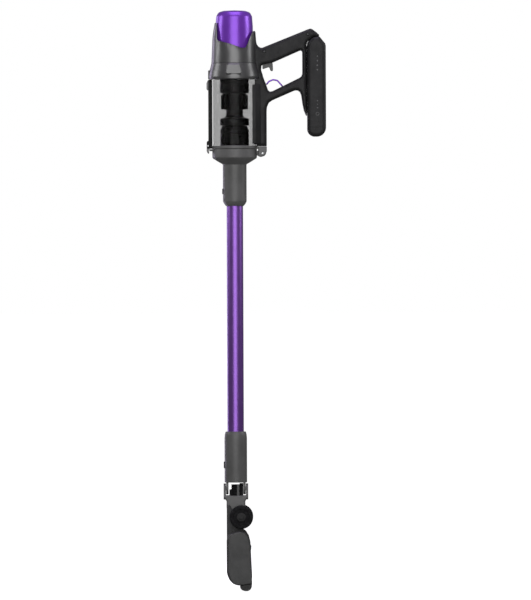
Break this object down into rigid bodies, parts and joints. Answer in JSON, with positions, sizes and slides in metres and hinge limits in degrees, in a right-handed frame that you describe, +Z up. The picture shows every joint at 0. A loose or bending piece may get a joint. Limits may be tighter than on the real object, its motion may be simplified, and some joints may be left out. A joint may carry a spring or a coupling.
{
  "type": "cordless stick vacuum",
  "caption": "Cordless stick vacuum hanging straight: cyclone handle unit with a loop handle and rear battery, purple wand, tilting roller floor head.",
  "frame": {"origin": "on the wand's axis, where the neck leaves the dust cup's funnel and a wall cradle clasps it", "axes": "+Z up along the wand's axis, +X towards the handle, battery and sole, Y along the floor head's width"},
  "size_m": [0.2388, 0.2448, 1.157],
  "materials": {
    "purple": "metallic purple lacquer",
    "tube_purple": "anodised purple aluminium",
    "gunmetal": "grey plastic with a fine metallic flake",
    "charcoal": "soft-touch charcoal plastic",
    "black": "black moulded plastic",
    "smoke": "clear smoked plastic",
    "rubber": "matt rubber",
    "steel": "bright steel",
    "board": "green circuit board",
    "filter": "pleated filter paper",
    "cell": "blue heat-shrink sleeve",
    "bristle": "soft nylon fibre"
  },
  "bodies": {
    "main_unit": {"motor_housing": "gunmetal", "cup_collar": "gunmetal", "handle_shell_left": "charcoal", "handle_shell_right": "charcoal", "handle_screw_root": "steel", "handle_screw_end": "steel", "motor_can": "steel", "motor_mount": "rubber", "control_board": "board", "trigger_switch": "black", "trigger_pin": "steel", "finger_guard": "purple"},
    "filter_cap": {"filter_cap": "purple", "hepa_filter": "filter"},
    "rotor": {"motor_shaft": "steel", "impeller": "black"},
    "trigger": {"trigger": "gunmetal"},
    "mode_button": {"mode_button": "gunmetal"},
    "battery": {"battery_case": "charcoal", "battery_foot": "charcoal", "cell_stack_1": "cell", "cell_stack_2": "cell", "cell_stack_3": "cell", "battery_board": "board"},
    "battery_button": {"battery_release_button": "gunmetal"},
    "dust_cup": {"dust_cup": "smoke", "cyclone_shroud": "black", "cyclone_core": "black", "cup_base_ring": "gunmetal", "cover_hinge_pin": "steel", "cup_rail": "black", "latch_pin": "steel"},
    "cup_release": {"cup_release_button": "gunmetal"},
    "cover_latch": {"cover_latch": "gunmetal"},
    "bottom_cover": {"bottom_cover": "gunmetal", "cover_seal": "rubber", "inlet_duct": "black"},
    "inlet_flap": {"inlet_flap": "rubber"},
    "wand_button": {"wand_release_button": "charcoal"},
    "wand": {"wand_tube": "tube_purple", "wand_cable_duct": "black"},
    "head_collar": {"head_collar": "gunmetal"},
    "head_button": {"head_release_button": "charcoal"},
    "knuckle": {"neck_knuckle": "gunmetal", "neck_hose": "rubber"},
    "floor_head": {"head_cover": "gunmetal", "head_base": "charcoal", "end_cap_left": "gunmetal", "end_cap_right": "gunmetal", "head_bumper": "rubber", "brush_motor": "steel", "drive_belt": "rubber", "wheel_axle": "steel"},
    "brush": {"brush_core": "charcoal", "brush_fibre": "bristle"},
    "motor_pulley": {"motor_pulley": "steel"},
    "wheel_left": {"rear_wheel_left": "rubber"},
    "wheel_right": {"rear_wheel_right": "rubber"},
    "roller_left": {"sole_roller_left": "rubber"},
    "roller_right": {"sole_roller_right": "rubber"}
  },
  "joints": [
    {"name": "filter_cap_lift", "type": "slide", "parent": "main_unit", "child": "filter_cap", "axis": [0, 0, 1], "range_m": [0, 0.06]},
    {"name": "rotor_spin", "type": "hinge", "parent": "main_unit", "child": "rotor", "pos_m": [0, 0, 0.2], "axis": [0, 0, 1], "continuous": true},
    {"name": "trigger_squeeze", "type": "hinge", "parent": "main_unit", "child": "trigger", "pos_m": [0.059, 0, 0.203], "axis": [0, -1, 0], "range_deg": [0, 9], "stiffness_Nm_per_rad": 0.6, "springref_deg": -2.86},
    {"name": "mode_press", "type": "slide", "parent": "main_unit", "child": "mode_button", "axis": [-0.6342, 0, -0.7731], "range_m": [0, 0.001], "stiffness_N_per_m": 400, "springref_m": -0.001},
    {"name": "battery_slide", "type": "slide", "parent": "main_unit", "child": "battery", "axis": [0, 0, 1], "range_m": [-0.05, 0]},
    {"name": "battery_button_press", "type": "slide", "parent": "battery", "child": "battery_button", "axis": [-1, 0, 0], "range_m": [0, 0.0012], "stiffness_N_per_m": 400, "springref_m": -0.001},
    {"name": "cup_slide", "type": "slide", "parent": "main_unit", "child": "dust_cup", "axis": [0, 0, -1], "range_m": [0, 0.05]},
    {"name": "cup_release_press", "type": "slide", "parent": "dust_cup", "child": "cup_release", "axis": [0, 0, -1], "range_m": [0, 0.005], "stiffness_N_per_m": 300, "springref_m": -0.004},
    {"name": "latch_swing", "type": "hinge", "parent": "dust_cup", "child": "cover_latch", "pos_m": [-0.053, 0, 0.035], "axis": [0, 1, 0], "range_deg": [0, 12]},
    {"name": "cover_swing", "type": "hinge", "parent": "dust_cup", "child": "bottom_cover", "pos_m": [0.056, 0, 0.02], "axis": [0, 1, 0], "range_deg": [-90, 0]},
    {"name": "flap_swing", "type": "hinge", "parent": "bottom_cover", "child": "inlet_flap", "pos_m": [0.0205, 0, 0.0315], "axis": [0, 1, 0], "range_deg": [0, 60]},
    {"name": "wand_button_press", "type": "slide", "parent": "bottom_cover", "child": "wand_button", "axis": [1, 0, 0], "range_m": [0, 0.0015], "stiffness_N_per_m": 400, "springref_m": -0.001},
    {"name": "wand_slide", "type": "slide", "parent": "bottom_cover", "child": "wand", "axis": [0, 0, -1], "range_m": [0, 0.07]},
    {"name": "collar_slide", "type": "slide", "parent": "wand", "child": "head_collar", "axis": [0, 0, -1], "range_m": [0, 0.07]},
    {"name": "head_button_press", "type": "slide", "parent": "head_collar", "child": "head_button", "axis": [1, 0, 0], "range_m": [0, 0.001], "stiffness_N_per_m": 400, "springref_m": -0.001},
    {"name": "neck_roll", "type": "hinge", "parent": "head_collar", "child": "knuckle", "pos_m": [0, 0, -0.65], "axis": [1, 0, 0], "range_deg": [-45, 45]},
    {"name": "head_pitch", "type": "hinge", "parent": "knuckle", "child": "floor_head", "pos_m": [0.0108, 0, -0.7066], "axis": [0, 1, 0], "range_deg": [0, 90]},
    {"name": "brush_spin", "type": "hinge", "parent": "floor_head", "child": "brush", "pos_m": [0.0118, 0, -0.8166], "axis": [0, 1, 0], "continuous": true},
    {"name": "pulley_spin", "type": "hinge", "parent": "floor_head", "child": "motor_pulley", "pos_m": [0.0048, 0, -0.7696], "axis": [0, 1, 0], "continuous": true},
    {"name": "wheel_left_spin", "type": "hinge", "parent": "floor_head", "child": "wheel_left", "pos_m": [0.0108, 0, -0.7066], "axis": [0, 1, 0], "continuous": true},
    {"name": "wheel_right_spin", "type": "hinge", "parent": "floor_head", "child": "wheel_right", "pos_m": [0.0108, 0, -0.7066], "axis": [0, 1, 0], "continuous": true},
    {"name": "roller_left_spin", "type": "hinge", "parent": "floor_head", "child": "roller_left", "pos_m": [0.026, -0.07, -0.7686], "axis": [0, 1, 0], "continuous": true},
    {"name": "roller_right_spin", "type": "hinge", "parent": "floor_head", "child": "roller_right", "pos_m": [0.026, 0.07, -0.7686], "axis": [0, 1, 0], "continuous": true}
  ],
  "couplings": [
    {"joint": "latch_swing", "follows": "cup_release_press", "rad_per_m": 41.888},
    {"joint": "pulley_spin", "follows": "brush_spin", "ratio": 1.7308}
  ]
}
